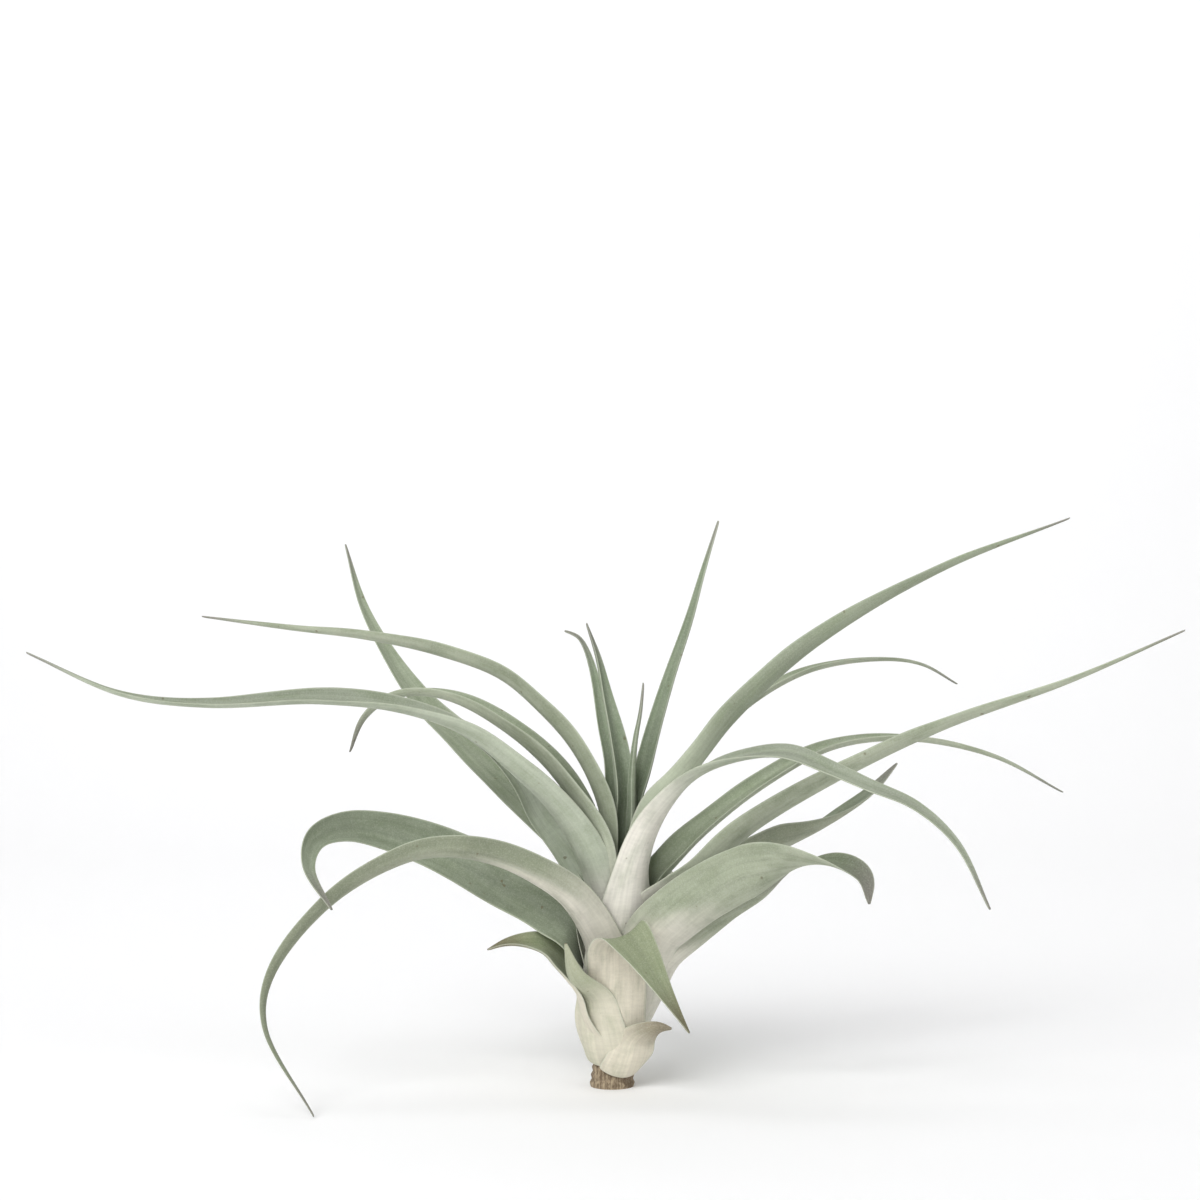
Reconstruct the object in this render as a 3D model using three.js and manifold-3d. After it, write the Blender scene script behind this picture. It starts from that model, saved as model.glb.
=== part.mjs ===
// A large soft-leaved air plant: a rosette of silvery green leaves round a short stem, with no pot.
// Millimetres, +Z up. The origin is the middle of the flat at the foot of the stem, which stands on
// the ground plane. -Y is the front. Each leaf is a thin channelled blade: it grows from the stem,
// wraps the leaves inside it as a sheath, then leaves the bunch and follows its own route to a fine tip.
import * as THREE from 'three';
import Module from 'manifold-3d';

// The stem.
const STEM_HEIGHT = 62;
const STEM_FOOT_RADIUS = 8;
const STEM_TOP_RADIUS = 2.2;
const STEM_LEAN = 0.05; // sideways shift toward +X for each millimetre of height
const STEM_SIDES = 16;

// The bunch of sheaths. Rank 0 is the innermost leaf, the last rank is the outermost one.
const LAST_RANK = 27;
const LOWEST_INSERTION = 4;
const HIGHEST_INSERTION = 56;
const INNERMOST_SHEATH_RADIUS = 2.2;
const OUTERMOST_SHEATH_RADIUS = 17.6;
const SHEATH_SPREAD_EXPONENT = 0.8;
const SHEATH_SWELL_HEIGHT = 12; // height over which a sheath swells from the stem to its full radius
const SHEATH_STEPS = 4;
const WIDEST_WRAP = 1.3; // half of a sheath's arc round the stem, in radians

// The blades.
const SHEATH_THICKNESS = 0.7;
const RIB_THICKNESS = 1.5;
const TIP_THICKNESS = 0.8;
const MARGIN_THICKNESS = 0.65;
const TIP_WIDTH = 1.1;
const NECK_LENGTH = 20; // past the sheath, where the width narrows and the wrap opens into a channel
const CLEARANCE = 0.35; // gap kept to the stem and to every leaf further in
const COLUMNS = 4; // points across each face of a blade
const STATION_PITCH = 11;
const ROLL_STAGES = [0, 0.25, 0.6, 1]; // parts of a leaf's length: insertion, neck, middle and tip
const SIMPLIFY = 0.12; // short slivers left by a cut are merged within this distance

// One entry for each leaf. heading: compass direction of the sheath in degrees, 0 = +X, 90 = +Y.
// leave: height where the leaf parts from the bunch. route: points [x, y, z] from there to the tip.
// sheath, blade: flattened widths. channel: half angle of the blade's curved section, in radians.
// taper: 1 narrows evenly to the tip, more keeps the blade wide for longer. roll: twist of the blade
// about its own length at the neck, the middle and the tip, in degrees.
const LEAVES = [
  {
    name: 'leaf_centre_bud', rank: 0, heading: 20, leave: 84,
    route: [[7, 2, 96], [7, 3, 107], [8, 3, 120], [10, 5, 131], [11, 6, 141]],
    sheath: 9, blade: 9, channel: 1.5, taper: 1.4, roll: [0, 0, 0],
  },
  {
    name: 'leaf_centre_broad', rank: 1, heading: 170, leave: 84,
    route: [[4, 2, 98], [3, 4, 112], [1, 6, 124], [-2, 8, 137], [-5, 10, 150], [-9, 12, 162]],
    sheath: 11, blade: 18, channel: 1.2, taper: 1.4, roll: [-30, -35, -20],
  },
  {
    name: 'leaf_centre_bent_tip', rank: 2, heading: 110, leave: 82,
    route: [
      [1, 8, 98], [0, 12, 112], [-3, 15, 126], [-6, 18, 142], [-9, 20, 152], [-12, 20, 157],
      [-17, 20, 159],
    ],
    sheath: 11, blade: 12, channel: 1.2, taper: 1.4, roll: [0, 0, 0],
  },
  {
    name: 'leaf_centre_tall', rank: 3, heading: 60, leave: 80,
    route: [
      [7, 7, 96], [11, 10, 109], [15, 14, 124], [21, 20, 143], [28, 26, 163], [33, 31, 180], [39, 37, 199],
    ],
    sheath: 12, blade: 12, channel: 1.4, taper: 1.3, roll: [0, 0, 0],
  },
  {
    name: 'leaf_right_rising', rank: 4, heading: 0, leave: 76,
    route: [
      [10, 1, 88], [14, 3, 97], [22, 5, 105], [31, 8, 116], [42, 12, 129], [72, 20, 155], [118, 29, 181],
      [167, 36, 200],
    ],
    sheath: 16, blade: 23, channel: 1.0, taper: 1.3, roll: [-20, -20, 0],
  },
  {
    name: 'leaf_left_rising', rank: 5, heading: 180, leave: 74,
    route: [
      [-1, -1, 92], [-5, 0, 106], [-13, 3, 120], [-24, 7, 132], [-39, 12, 144], [-62, 20, 152],
      [-88, 30, 157], [-118, 41, 160], [-152, 54, 164],
    ],
    sheath: 16, blade: 19, channel: 1.2, taper: 1.3, roll: [10, 10, 0],
  },
  {
    name: 'leaf_back_upper', rank: 6, heading: 95, leave: 70,
    route: [[4, 12, 84], [5, 28, 90], [4, 55, 91], [3, 85, 85], [2, 115, 73], [0, 140, 57]],
    sheath: 17, blade: 16, channel: 1.1, taper: 1.4, roll: [0, 0, 0],
  },
  {
    name: 'leaf_back_right_upper', rank: 7, heading: 35, leave: 68,
    route: [
      [12, 9, 86], [20, 16, 100], [33, 26, 116], [46, 36, 130], [72, 52, 144], [98, 63, 148],
      [117, 72, 146], [132, 79, 138],
    ],
    sheath: 17, blade: 16, channel: 1.2, taper: 1.4, roll: [0, 0, 0],
  },
  {
    name: 'leaf_back_left_upturned', rank: 8, heading: 140, leave: 64,
    route: [
      [-7, 10, 78], [-19, 20, 88], [-38, 38, 103], [-57, 56, 119], [-75, 72, 136], [-95, 94, 166],
      [-104, 108, 192],
    ],
    sheath: 19, blade: 25, channel: 0.9, taper: 1.2, roll: [-35, -30, 0],
  },
  {
    name: 'leaf_left_hooked', rank: 9, heading: -170, leave: 66,
    route: [
      [-5, -4, 84], [-9, -5, 97], [-18, -4, 110.5], [-32, -3, 123.5], [-52, 0, 135], [-66, 3, 138],
      [-78, 6, 136], [-88, 10, 128], [-93, 12, 116],
    ],
    sheath: 20, blade: 35, channel: 1.1, taper: 1.3, roll: [0, -18, 0],
  },
  {
    name: 'leaf_right_long', rank: 10, heading: -15, leave: 56,
    route: [
      [13.5, -4, 65.5], [20, -6, 70.5], [31.5, -8, 77.5], [46, -10, 91], [75, -15, 109], [112, -21, 127],
      [155, -29, 143], [193, -34, 160],
    ],
    sheath: 19, blade: 22, channel: 1.1, taper: 1.4, roll: [-20, -20, 0],
  },
  {
    name: 'leaf_right_slender', rank: 11, heading: 20, leave: 56,
    route: [
      [13, 5, 70], [20, 8, 78], [30, 11, 88], [55, 19, 106], [80, 26, 118], [108, 34, 120], [140, 42, 113],
      [167, 50, 99],
    ],
    sheath: 19, blade: 16, channel: 1.2, taper: 1.4, roll: [25, 10, 0],
  },
  {
    name: 'leaf_left_long', rank: 12, heading: -145, leave: 66,
    route: [
      [-9, -10, 83], [-18, -13, 98], [-32, -16, 112], [-50, -19, 126], [-72, -25, 134], [-99, -32, 137],
      [-135, -42, 135.5], [-162, -51, 139], [-192, -59, 153],
    ],
    sheath: 22, blade: 23, channel: 1.3, taper: 1.2, roll: [5, -44, -28],
  },
  {
    name: 'leaf_back_left_prop', rank: 13, heading: 110, leave: 54,
    route: [
      [-1, 17, 67], [-3, 34, 76], [-7, 60, 77], [-11, 88, 67], [-13, 115, 46], [-11, 133, 20],
      [-9, 140, 0.4],
    ],
    sheath: 20, blade: 17, channel: 1.1, taper: 1.6, roll: [0, 0, 0],
  },
  {
    name: 'leaf_front_right_arching', rank: 14, heading: -75, leave: 62,
    route: [
      [7, -13, 76], [11, -17, 89], [18, -22, 101], [28, -27, 111], [42, -32, 117], [58, -39, 119],
      [72, -44, 114], [85, -48, 108.4], [100, -53, 102], [113, -57, 90], [123, -62, 69],
    ],
    sheath: 34, blade: 18, channel: 0.9, taper: 1.1, roll: [8, 81, 92],
  },
  {
    name: 'leaf_left_inner', rank: 15, heading: 165, leave: 56,
    route: [
      [-9, 1, 70], [-17, 1, 83], [-26, 0, 95], [-31, -3, 105], [-39, -5, 115], [-53, -7, 125],
      [-76, -9, 133],
    ],
    sheath: 20, blade: 17, channel: 1.0, taper: 1.3, roll: [-45, -45, 0],
  },
  {
    name: 'leaf_back_right_lower', rank: 16, heading: 40, leave: 48,
    route: [
      [15, 11, 61], [22, 16, 66], [35, 26, 72], [56, 42, 79], [78, 60, 86], [97, 71, 97], [109, 79, 108],
    ],
    sheath: 20, blade: 29, channel: 0.8, taper: 2.2, roll: [-35, -45, 20],
  },
  {
    name: 'leaf_back_right_prop', rank: 17, heading: 75, leave: 46,
    route: [
      [9, 20, 59], [13, 38, 67], [18, 62, 67], [22, 88, 55], [22, 108, 36], [18, 121, 16], [15, 127, 0.4],
    ],
    sheath: 20, blade: 16, channel: 1.1, taper: 1.6, roll: [0, 0, 0],
  },
  {
    name: 'leaf_left_curled_over', rank: 18, heading: -175, leave: 46,
    route: [
      [-13, -4, 56], [-24, -2, 64], [-38, 0, 71], [-53, 2, 79], [-67, 3, 85], [-80, 1, 89], [-93, -6, 91],
      [-102, -17, 88], [-103, -29, 79], [-94, -38, 66],
    ],
    sheath: 22, blade: 24, channel: 0.7, taper: 1.9, roll: [-60, -75, -30],
  },
  {
    name: 'leaf_left_drooping', rank: 19, heading: -114, leave: 48,
    route: [
      [-8, -14, 60], [-15, -17, 69], [-25, -19, 76], [-38, -20, 82], [-54, -21, 85], [-70, -22, 83],
      [-96, -25, 68], [-115, -35, 44], [-116, -44, 28], [-98, -57, 0.4],
    ],
    sheath: 18, blade: 18, channel: 1.1, taper: 1.5, roll: [0, -20, -20],
  },
  {
    name: 'leaf_right_broad', rank: 20, heading: -50, leave: 44,
    route: [
      [14, -15, 54], [21, -19, 61.5], [32, -24, 70.3], [45, -29, 77.8], [60, -33, 82.2], [76, -37, 82],
      [84.5, -39, 77.5], [86, -39, 68],
    ],
    sheath: 20, blade: 22, channel: 0.8, taper: 4.5, roll: [-42, -70, 105],
  },
  {
    name: 'leaf_back_left_low', rank: 21, heading: 120, leave: 36,
    route: [[-7, 20, 49], [-9, 33, 54], [-12, 52, 53], [-12, 70, 44], [-10, 84, 28], [-8, 92, 13]],
    sheath: 22, blade: 17, channel: 1.1, taper: 1.5, roll: [0, 0, 0],
  },
  {
    name: 'leaf_right_under', rank: 22, heading: -10, leave: 35,
    route: [[20, -5, 44], [29, -8, 52], [41, -10, 61], [52, -12, 68], [59, -13, 75], [65, -14, 80]],
    sheath: 22, blade: 20, channel: 0.9, taper: 1.6, roll: [-35, -35, 0],
  },
  {
    name: 'leaf_left_short', rank: 23, heading: -155, leave: 34,
    route: [[-18, -8, 45], [-23, -10, 50], [-30, -13, 52], [-37, -16, 52], [-43, -18, 50]],
    sheath: 20, blade: 26, channel: 0.8, taper: 2, roll: [-30, -45, 0],
  },
  {
    name: 'leaf_front_folded', rank: 24, heading: -90, leave: 42,
    route: [[1.5, -20, 53], [4, -26, 57], [9.5, -30, 50.5], [17, -33, 38.5], [26, -34, 24]],
    sheath: 27, blade: 38, channel: 0.6, taper: 1.1, roll: [0, 34, 0],
  },
  {
    name: 'leaf_front_left_scale', rank: 25, heading: -122, leave: 32,
    route: [[-13, -19, 42], [-16, -22, 53]],
    sheath: 26, blade: 20, channel: 1.0, taper: 1.8, roll: [0, 0, 0],
  },
  {
    name: 'leaf_back_short', rank: 26, heading: 80, leave: 24,
    route: [[6, 24, 35], [8, 36, 38], [10, 50, 32], [11, 60, 22]],
    sheath: 22, blade: 16, channel: 1.0, taper: 1.4, roll: [0, 0, 0],
  },
  {
    name: 'leaf_foot_stub', rank: 27, heading: -60, leave: 17,
    route: [[12, -17, 21.5], [16, -18, 23.5], [20.5, -18.5, 23]],
    sheath: 20, blade: 18, channel: 0.8, taper: 1.6, roll: [-10, -40, -40],
  },
];

// Colours: green blades, paler toward the front scales and the sheaths, brown at the foot.
const BLADE_MATERIAL = { color: 0x9aa890, roughness: 0.85, metalness: 0 };
const SCALE_MATERIAL = { color: 0xcfc8b8, roughness: 0.9, metalness: 0 };
const STEM_MATERIAL = { color: 0x8a7a62, roughness: 0.95, metalness: 0 };
const SCALE_LEAVES = ['leaf_front_left_scale', 'leaf_foot_stub'];

const wasm = await Module();
wasm.setup();

const { clamp, degToRad, lerp, smoothstep } = THREE.MathUtils;

function stemRadius(z) {
  return lerp(STEM_FOOT_RADIUS, STEM_TOP_RADIUS, clamp(z / STEM_HEIGHT, 0, 1));
}

function insertionHeight(rank) {
  return lerp(HIGHEST_INSERTION, LOWEST_INSERTION, rank / LAST_RANK);
}

// Distance of a sheath's middle surface from the stem's axis at height z.
function sheathRadius(rank, z) {
  const share = (rank / LAST_RANK) ** SHEATH_SPREAD_EXPONENT;
  const full = lerp(INNERMOST_SHEATH_RADIUS, OUTERMOST_SHEATH_RADIUS, share);
  const start = stemRadius(insertionHeight(rank)) + CLEARANCE + SHEATH_THICKNESS / 2;
  const swell = 1 - Math.exp(-(z - insertionHeight(rank)) / SHEATH_SWELL_HEIGHT);
  return Math.max(stemRadius(z) + CLEARANCE + SHEATH_THICKNESS / 2, lerp(start, full, swell));
}

// The line along the middle of a leaf: up the sheath, then along its own route.
function leafSpine(leaf) {
  const direction = degToRad(leaf.heading);
  const bottom = insertionHeight(leaf.rank);
  const points = [];
  for (let i = 0; i <= SHEATH_STEPS; i += 1) {
    const z = lerp(bottom, leaf.leave, i / SHEATH_STEPS);
    const r = sheathRadius(leaf.rank, z);
    points.push(new THREE.Vector3(STEM_LEAN * z + r * Math.cos(direction), r * Math.sin(direction), z));
  }
  for (const [x, y, z] of leaf.route) {
    points.push(new THREE.Vector3(x, y, z));
  }
  return new THREE.CatmullRomCurve3(points, false, 'centripetal');
}

// The twist of a leaf's blade at t, its part of the length from insertion (0) to tip (1).
function rollAt(leaf, t) {
  const rolls = [0, ...leaf.roll];
  const stage = Math.max(1, ROLL_STAGES.findIndex((end) => t <= end));
  const before = ROLL_STAGES[stage - 1];
  return degToRad(lerp(rolls[stage - 1], rolls[stage], (t - before) / (ROLL_STAGES[stage] - before)));
}

// Evenly spaced stations along a leaf, each with its frame, width, wrap angle and thickness.
function leafStations(leaf) {
  const spine = leafSpine(leaf);
  const length = spine.getLength();
  const sheathLength = leaf.leave - insertionHeight(leaf.rank);
  const count = Math.ceil(length / STATION_PITCH);
  const direction = degToRad(leaf.heading);
  const across = new THREE.Vector3(-Math.sin(direction), Math.cos(direction), 0);
  const stations = [];
  for (let i = 0; i <= count; i += 1) {
    const t = i / count;
    const centre = spine.getPointAt(t);
    const along = spine.getTangentAt(t);
    across.addScaledVector(along, -across.dot(along)).normalize();
    const inward = new THREE.Vector3().crossVectors(along, across);
    const roll = rollAt(leaf, t);
    const opened = smoothstep(t * length, 0.5 * sheathLength, sheathLength + NECK_LENGTH);
    const full = lerp(leaf.sheath, leaf.blade, opened);
    const width = full * (1 - t ** leaf.taper) + TIP_WIDTH;
    const wrap = Math.min(WIDEST_WRAP, width / 2 / sheathRadius(leaf.rank, centre.z));
    const halfAngle = lerp(wrap, leaf.channel, opened);
    const depth = (width / 2 / halfAngle) * (1 - Math.cos(halfAngle));
    inward.applyAxisAngle(along, roll);
    stations.push({
      centre: centre.addScaledVector(inward, -0.5 * opened * depth),
      across: across.clone().applyAxisAngle(along, roll),
      inward,
      halfAngle,
      width,
      rib: lerp(SHEATH_THICKNESS, lerp(RIB_THICKNESS, TIP_THICKNESS, t), opened),
    });
  }
  return stations;
}

// A point on one face of a leaf. v runs from -1 to 1 across it; side is -1 outside, 1 inside.
function facePoint(station, v, side, margin) {
  const radius = station.width / 2 / station.halfAngle;
  const angle = (station.halfAngle + margin / radius) * v;
  const thickness = lerp(station.rib, MARGIN_THICKNESS, v * v);
  const reach = radius - side * (thickness / 2 + margin);
  return station.centre.clone()
    .addScaledVector(station.across, reach * Math.sin(angle))
    .addScaledVector(station.inward, radius - reach * Math.cos(angle));
}

// The closed skin of a leaf, or of the space it needs when margin is more than nothing.
function leafGeometry(stations, margin) {
  const positions = [];
  const index = [];
  const ring = 2 * COLUMNS;
  for (const station of stations) {
    for (const side of [-1, 1]) {
      for (let j = 0; j < COLUMNS; j += 1) {
        positions.push(...facePoint(station, (2 * j) / (COLUMNS - 1) - 1, side, margin).toArray());
      }
    }
  }
  const quad = (a, b, c, d) => index.push(a, b, c, a, c, d);
  const inner = COLUMNS;
  for (let i = 0; i + 1 < stations.length; i += 1) {
    const here = i * ring;
    const next = here + ring;
    for (let j = 0; j + 1 < COLUMNS; j += 1) {
      quad(here + j, here + j + 1, next + j + 1, next + j);
      index.push(here + inner + j, next + inner + j + 1, here + inner + j + 1);
      index.push(here + inner + j, next + inner + j, next + inner + j + 1);
    }
    quad(here, next, next + inner, here + inner);
    quad(here + COLUMNS - 1, here + ring - 1, next + ring - 1, next + COLUMNS - 1);
  }
  const last = (stations.length - 1) * ring;
  for (let j = 0; j + 1 < COLUMNS; j += 1) {
    quad(j, inner + j, inner + j + 1, j + 1);
    quad(last + j, last + j + 1, last + inner + j + 1, last + inner + j);
  }
  const geometry = new THREE.BufferGeometry();
  geometry.setAttribute('position', new THREE.Float32BufferAttribute(positions, 3));
  geometry.setIndex(index);
  return geometry;
}

// The stem: a tapered cone on a flat foot, leaning a little toward +X.
function stemGeometry(margin) {
  const top = STEM_HEIGHT + margin;
  const profile = [
    new THREE.Vector2(0, -margin),
    new THREE.Vector2(STEM_FOOT_RADIUS + margin, -margin),
    new THREE.Vector2(stemRadius(STEM_HEIGHT / 2) + margin, STEM_HEIGHT / 2),
    new THREE.Vector2(STEM_TOP_RADIUS + margin, STEM_HEIGHT - STEM_TOP_RADIUS),
    new THREE.Vector2(0, top),
  ];
  const positions = [0, 0, -margin];
  const index = [];
  const rows = profile.slice(1, -1);
  for (const { x: radius, y: height } of rows) {
    for (let k = 0; k < STEM_SIDES; k += 1) {
      const angle = (k / STEM_SIDES) * 2 * Math.PI;
      positions.push(radius * Math.cos(angle) + STEM_LEAN * height, radius * Math.sin(angle), height);
    }
  }
  positions.push(STEM_LEAN * top, 0, top);
  const apex = 1 + rows.length * STEM_SIDES;
  for (let k = 0; k < STEM_SIDES; k += 1) {
    const side = (k + 1) % STEM_SIDES;
    index.push(0, 1 + side, 1 + k);
    for (let row = 0; row + 1 < rows.length; row += 1) {
      const low = 1 + row * STEM_SIDES;
      const high = low + STEM_SIDES;
      index.push(low + k, low + side, high + side, low + k, high + side, high + k);
    }
    const rim = 1 + (rows.length - 1) * STEM_SIDES;
    index.push(rim + k, rim + side, apex);
  }
  const geometry = new THREE.BufferGeometry();
  geometry.setAttribute('position', new THREE.Float32BufferAttribute(positions, 3));
  geometry.setIndex(index);
  return geometry;
}

function toSolid(geometry) {
  return new wasm.Manifold(new wasm.Mesh({
    numProp: 3,
    vertProperties: geometry.attributes.position.array,
    triVerts: Uint32Array.from(geometry.index.array),
  }));
}

function toGeometry(solid) {
  const mesh = solid.getMesh();
  const geometry = new THREE.BufferGeometry();
  geometry.setAttribute('position', new THREE.BufferAttribute(mesh.vertProperties, 3));
  geometry.setIndex(new THREE.BufferAttribute(mesh.triVerts, 1));
  geometry.computeVertexNormals();
  return geometry;
}

// The largest of the bodies that a cut leaves.
function largestBody(solid) {
  return solid.decompose().reduce((best, body) => (body.volume() > best.volume() ? body : best));
}

function addPiece(group, name, solid, material) {
  const mesh = new THREE.Mesh(toGeometry(solid), new THREE.MeshStandardMaterial(material));
  mesh.name = name;
  group.add(mesh);
}

// Leaves are made from the inside out, and each one is cut clear of the stem and those before it.
function airPlant() {
  const plant = new THREE.Group();
  plant.name = 'air_plant';
  addPiece(plant, 'stem', toSolid(stemGeometry(0)), STEM_MATERIAL);
  const taken = [toSolid(stemGeometry(CLEARANCE))];
  for (const leaf of LEAVES) {
    const stations = leafStations(leaf);
    const whole = toSolid(leafGeometry(stations, 0));
    const body = largestBody(taken.reduce((rest, space) => rest.subtract(space), whole).simplify(SIMPLIFY));
    addPiece(plant, leaf.name, body, SCALE_LEAVES.includes(leaf.name) ? SCALE_MATERIAL : BLADE_MATERIAL);
    taken.push(toSolid(leafGeometry(stations, CLEARANCE)));
  }
  return plant;
}

export default airPlant();
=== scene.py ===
import math
import random

import bpy
from mathutils import Matrix, Vector, noise


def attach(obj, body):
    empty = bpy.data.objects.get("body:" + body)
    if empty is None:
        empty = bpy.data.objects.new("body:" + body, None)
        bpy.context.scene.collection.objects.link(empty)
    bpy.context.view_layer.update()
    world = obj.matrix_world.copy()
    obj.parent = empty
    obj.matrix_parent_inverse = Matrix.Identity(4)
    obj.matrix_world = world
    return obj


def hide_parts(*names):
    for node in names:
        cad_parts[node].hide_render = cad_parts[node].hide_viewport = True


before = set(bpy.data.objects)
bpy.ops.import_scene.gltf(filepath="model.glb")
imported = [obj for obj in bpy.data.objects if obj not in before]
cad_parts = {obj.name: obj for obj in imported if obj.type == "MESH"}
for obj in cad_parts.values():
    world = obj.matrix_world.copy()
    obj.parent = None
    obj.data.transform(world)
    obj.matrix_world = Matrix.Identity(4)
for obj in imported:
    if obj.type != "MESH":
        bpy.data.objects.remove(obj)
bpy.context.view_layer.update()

# ---------------------------------------------------------------- camera
# A long lens, level and straight in front of the plant, a little above the height where its upper
# leaves spread. The plant stands low in a square picture, with white above it.
MM = 0.001
CAMERA_PLACE = Vector((-4.2, -900, 170)) * MM
SENSOR_MM = 36
LENS_MM = 77.14

bpy.ops.object.camera_add(location=CAMERA_PLACE, rotation=(math.radians(90), 0, 0))
camera = bpy.context.object
camera.data.sensor_width = SENSOR_MM
camera.data.lens = LENS_MM
bpy.context.scene.camera = camera

# ---------------------------------------------------------------- floor and backdrop
# One sheet of white paper: it lies flat under the plant, and far behind it sweeps up into a wall.
# The plane's back edge is extruded up, and the fold between them is bevelled round.
PAPER_WIDTH = 7.0
PAPER_BACK = 1.7
PAPER_HEIGHT = 3.2
PAPER_SWEEP = 0.9
PAPER_SWEEP_STEPS = 24
PAPER_COLOUR = (0.97, 0.97, 0.975, 1)

bpy.ops.object.select_all(action="DESELECT")
bpy.ops.mesh.primitive_plane_add(size=PAPER_WIDTH, location=(0, PAPER_BACK - PAPER_WIDTH / 2, 0))
paper = bpy.context.object
paper.name = "paper_sweep"
bpy.ops.object.transform_apply(location=True, rotation=True, scale=True)


def select_edges(piece, wanted):
    """Selects the edges whose two ends both pass the test, and no others, and stays in edit mode."""
    bpy.ops.object.mode_set(mode="EDIT")
    bpy.ops.mesh.select_mode(type="EDGE")
    bpy.ops.mesh.select_all(action="DESELECT")
    bpy.ops.object.mode_set(mode="OBJECT")
    for edge in piece.data.edges:
        edge.select = all(wanted(piece.data.vertices[i].co) for i in edge.vertices)
    bpy.ops.object.mode_set(mode="EDIT")


select_edges(paper, lambda co: co.y > PAPER_BACK - MM)
bpy.ops.mesh.extrude_region_move(TRANSFORM_OT_translate={"value": (0, 0, PAPER_HEIGHT)})
bpy.ops.object.mode_set(mode="OBJECT")
select_edges(paper, lambda co: co.y > PAPER_BACK - MM and co.z < MM)
bpy.ops.mesh.bevel(offset=PAPER_SWEEP, segments=PAPER_SWEEP_STEPS)
bpy.ops.object.mode_set(mode="OBJECT")
bpy.ops.object.shade_smooth()

paper_white = bpy.data.materials.new("paper_white")
paper_white.use_nodes = True
paper_shader = paper_white.node_tree.nodes["Principled BSDF"]
paper_shader.inputs["Base Color"].default_value = PAPER_COLOUR
paper_shader.inputs["Roughness"].default_value = 0.9
paper.data.materials.append(paper_white)

# ---------------------------------------------------------------- light
# Soft daylight as in a white room: an even sky all round, a broad window in front on the left, a
# weaker one on the right, and a lamp for the backdrop.
SKY_STRENGTH = 0.3
SKY_COLOUR = (1, 1, 1, 1)
PLANT_MIDDLE = (0, 0, 0.1)
BACKDROP_MIDDLE = (0, 1.7, 1.1)

sky = bpy.data.worlds.new("white_room")
sky.use_nodes = True
sky.node_tree.nodes["Background"].inputs["Color"].default_value = SKY_COLOUR
sky.node_tree.nodes["Background"].inputs["Strength"].default_value = SKY_STRENGTH
bpy.context.scene.world = sky
bpy.context.scene.view_settings.view_transform = "Standard"


def add_soft_light(name, place, size, watts, target=PLANT_MIDDLE):
    """A soft square light that faces its target, out of the camera's sight."""
    aim = Vector(target) - Vector(place)
    bpy.ops.object.light_add(type="AREA", location=place, rotation=aim.to_track_quat("-Z", "Y").to_euler())
    light = bpy.context.object
    light.name = name
    light.data.size = size
    light.data.energy = watts
    light.visible_camera = False


add_soft_light("window_left", place=(-0.7, -1.5, 1.25), size=1.2, watts=33)
add_soft_light("window_right", place=(1.5, -1.0, 0.9), size=1.0, watts=5)
add_soft_light("backdrop_lamp", place=(0, 0.55, 1.9), size=1.6, watts=15, target=BACKDROP_MIDDLE)

# ---------------------------------------------------------------- stem
# The short woody stem inside the bunch of leaves. It is ringed by the scars of old leaves and ends in
# a flat dry foot. Each ring, and each scar between two, is the top face extruded, scaled and moved a
# little to the right.
STEM_HEIGHT = 62 * MM
STEM_FOOT_RADIUS = 8 * MM
STEM_TOP_RADIUS = 2.2 * MM
STEM_LEAN = 0.05
STEM_SIDES = 48
STEM_RINGS = 22
STEM_SCAR_SHARE = 0.93
STEM_FOOT_SHARE = 0.94
STEM_TOP_ROOM = 2 * MM
STEM_CREASE = math.radians(60)
FIBRE_STRETCH = (1500, 1500, 160)
FIBRE_RELIEF = 0.4 * MM
BLOTCHES_PER_METRE = 240.0


def stem_radius(z):
    """How thick the stem is at a height."""
    share = min(max(z / STEM_HEIGHT, 0), 1)
    return STEM_FOOT_RADIUS + (STEM_TOP_RADIUS - STEM_FOOT_RADIUS) * share


bpy.ops.object.select_all(action="DESELECT")
radius, height = STEM_FOOT_RADIUS * STEM_FOOT_SHARE, 0.0
bpy.ops.mesh.primitive_circle_add(vertices=STEM_SIDES, radius=radius, fill_type="NGON")
stem = bpy.context.object
stem.name = "woody_stem"
bpy.ops.object.mode_set(mode="EDIT")
bpy.ops.mesh.select_all(action="SELECT")
steps = 2 * STEM_RINGS + 1
rise = (STEM_HEIGHT - STEM_TOP_ROOM) / steps
for step in range(steps):
    height += rise
    wanted = stem_radius(height) * (1 if step % 2 == 0 else STEM_SCAR_SHARE)
    bpy.ops.mesh.extrude_region_move(TRANSFORM_OT_translate={"value": (STEM_LEAN * rise, 0, rise)})
    bpy.ops.transform.resize(
        value=(wanted / radius, wanted / radius, 1), center_override=(STEM_LEAN * height, 0, height)
    )
    radius = wanted
bpy.ops.mesh.select_all(action="SELECT")
bpy.ops.mesh.normals_make_consistent(inside=False)
bpy.ops.object.mode_set(mode="OBJECT")
bpy.ops.object.shade_smooth_by_angle(angle=STEM_CREASE)


def paint(red, green, blue):
    """A colour as seen on a screen, 0 to 255, as the shader wants it."""
    def linear(value):
        share = value / 255
        return share / 12.92 if share <= 0.04045 else ((share + 0.055) / 1.055) ** 2.4
    return (linear(red), linear(green), linear(blue), 1)


def add_node(tree, kind, inputs=None, **settings):
    """A new shader node. An input is either a fixed value or another node's output to link."""
    made = tree.nodes.new(kind)
    for name, value in settings.items():
        setattr(made, name, value)
    for socket, value in (inputs or {}).items():
        if isinstance(value, bpy.types.NodeSocket):
            tree.links.new(value, made.inputs[socket])
        else:
            made.inputs[socket].default_value = value
    return made


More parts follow.
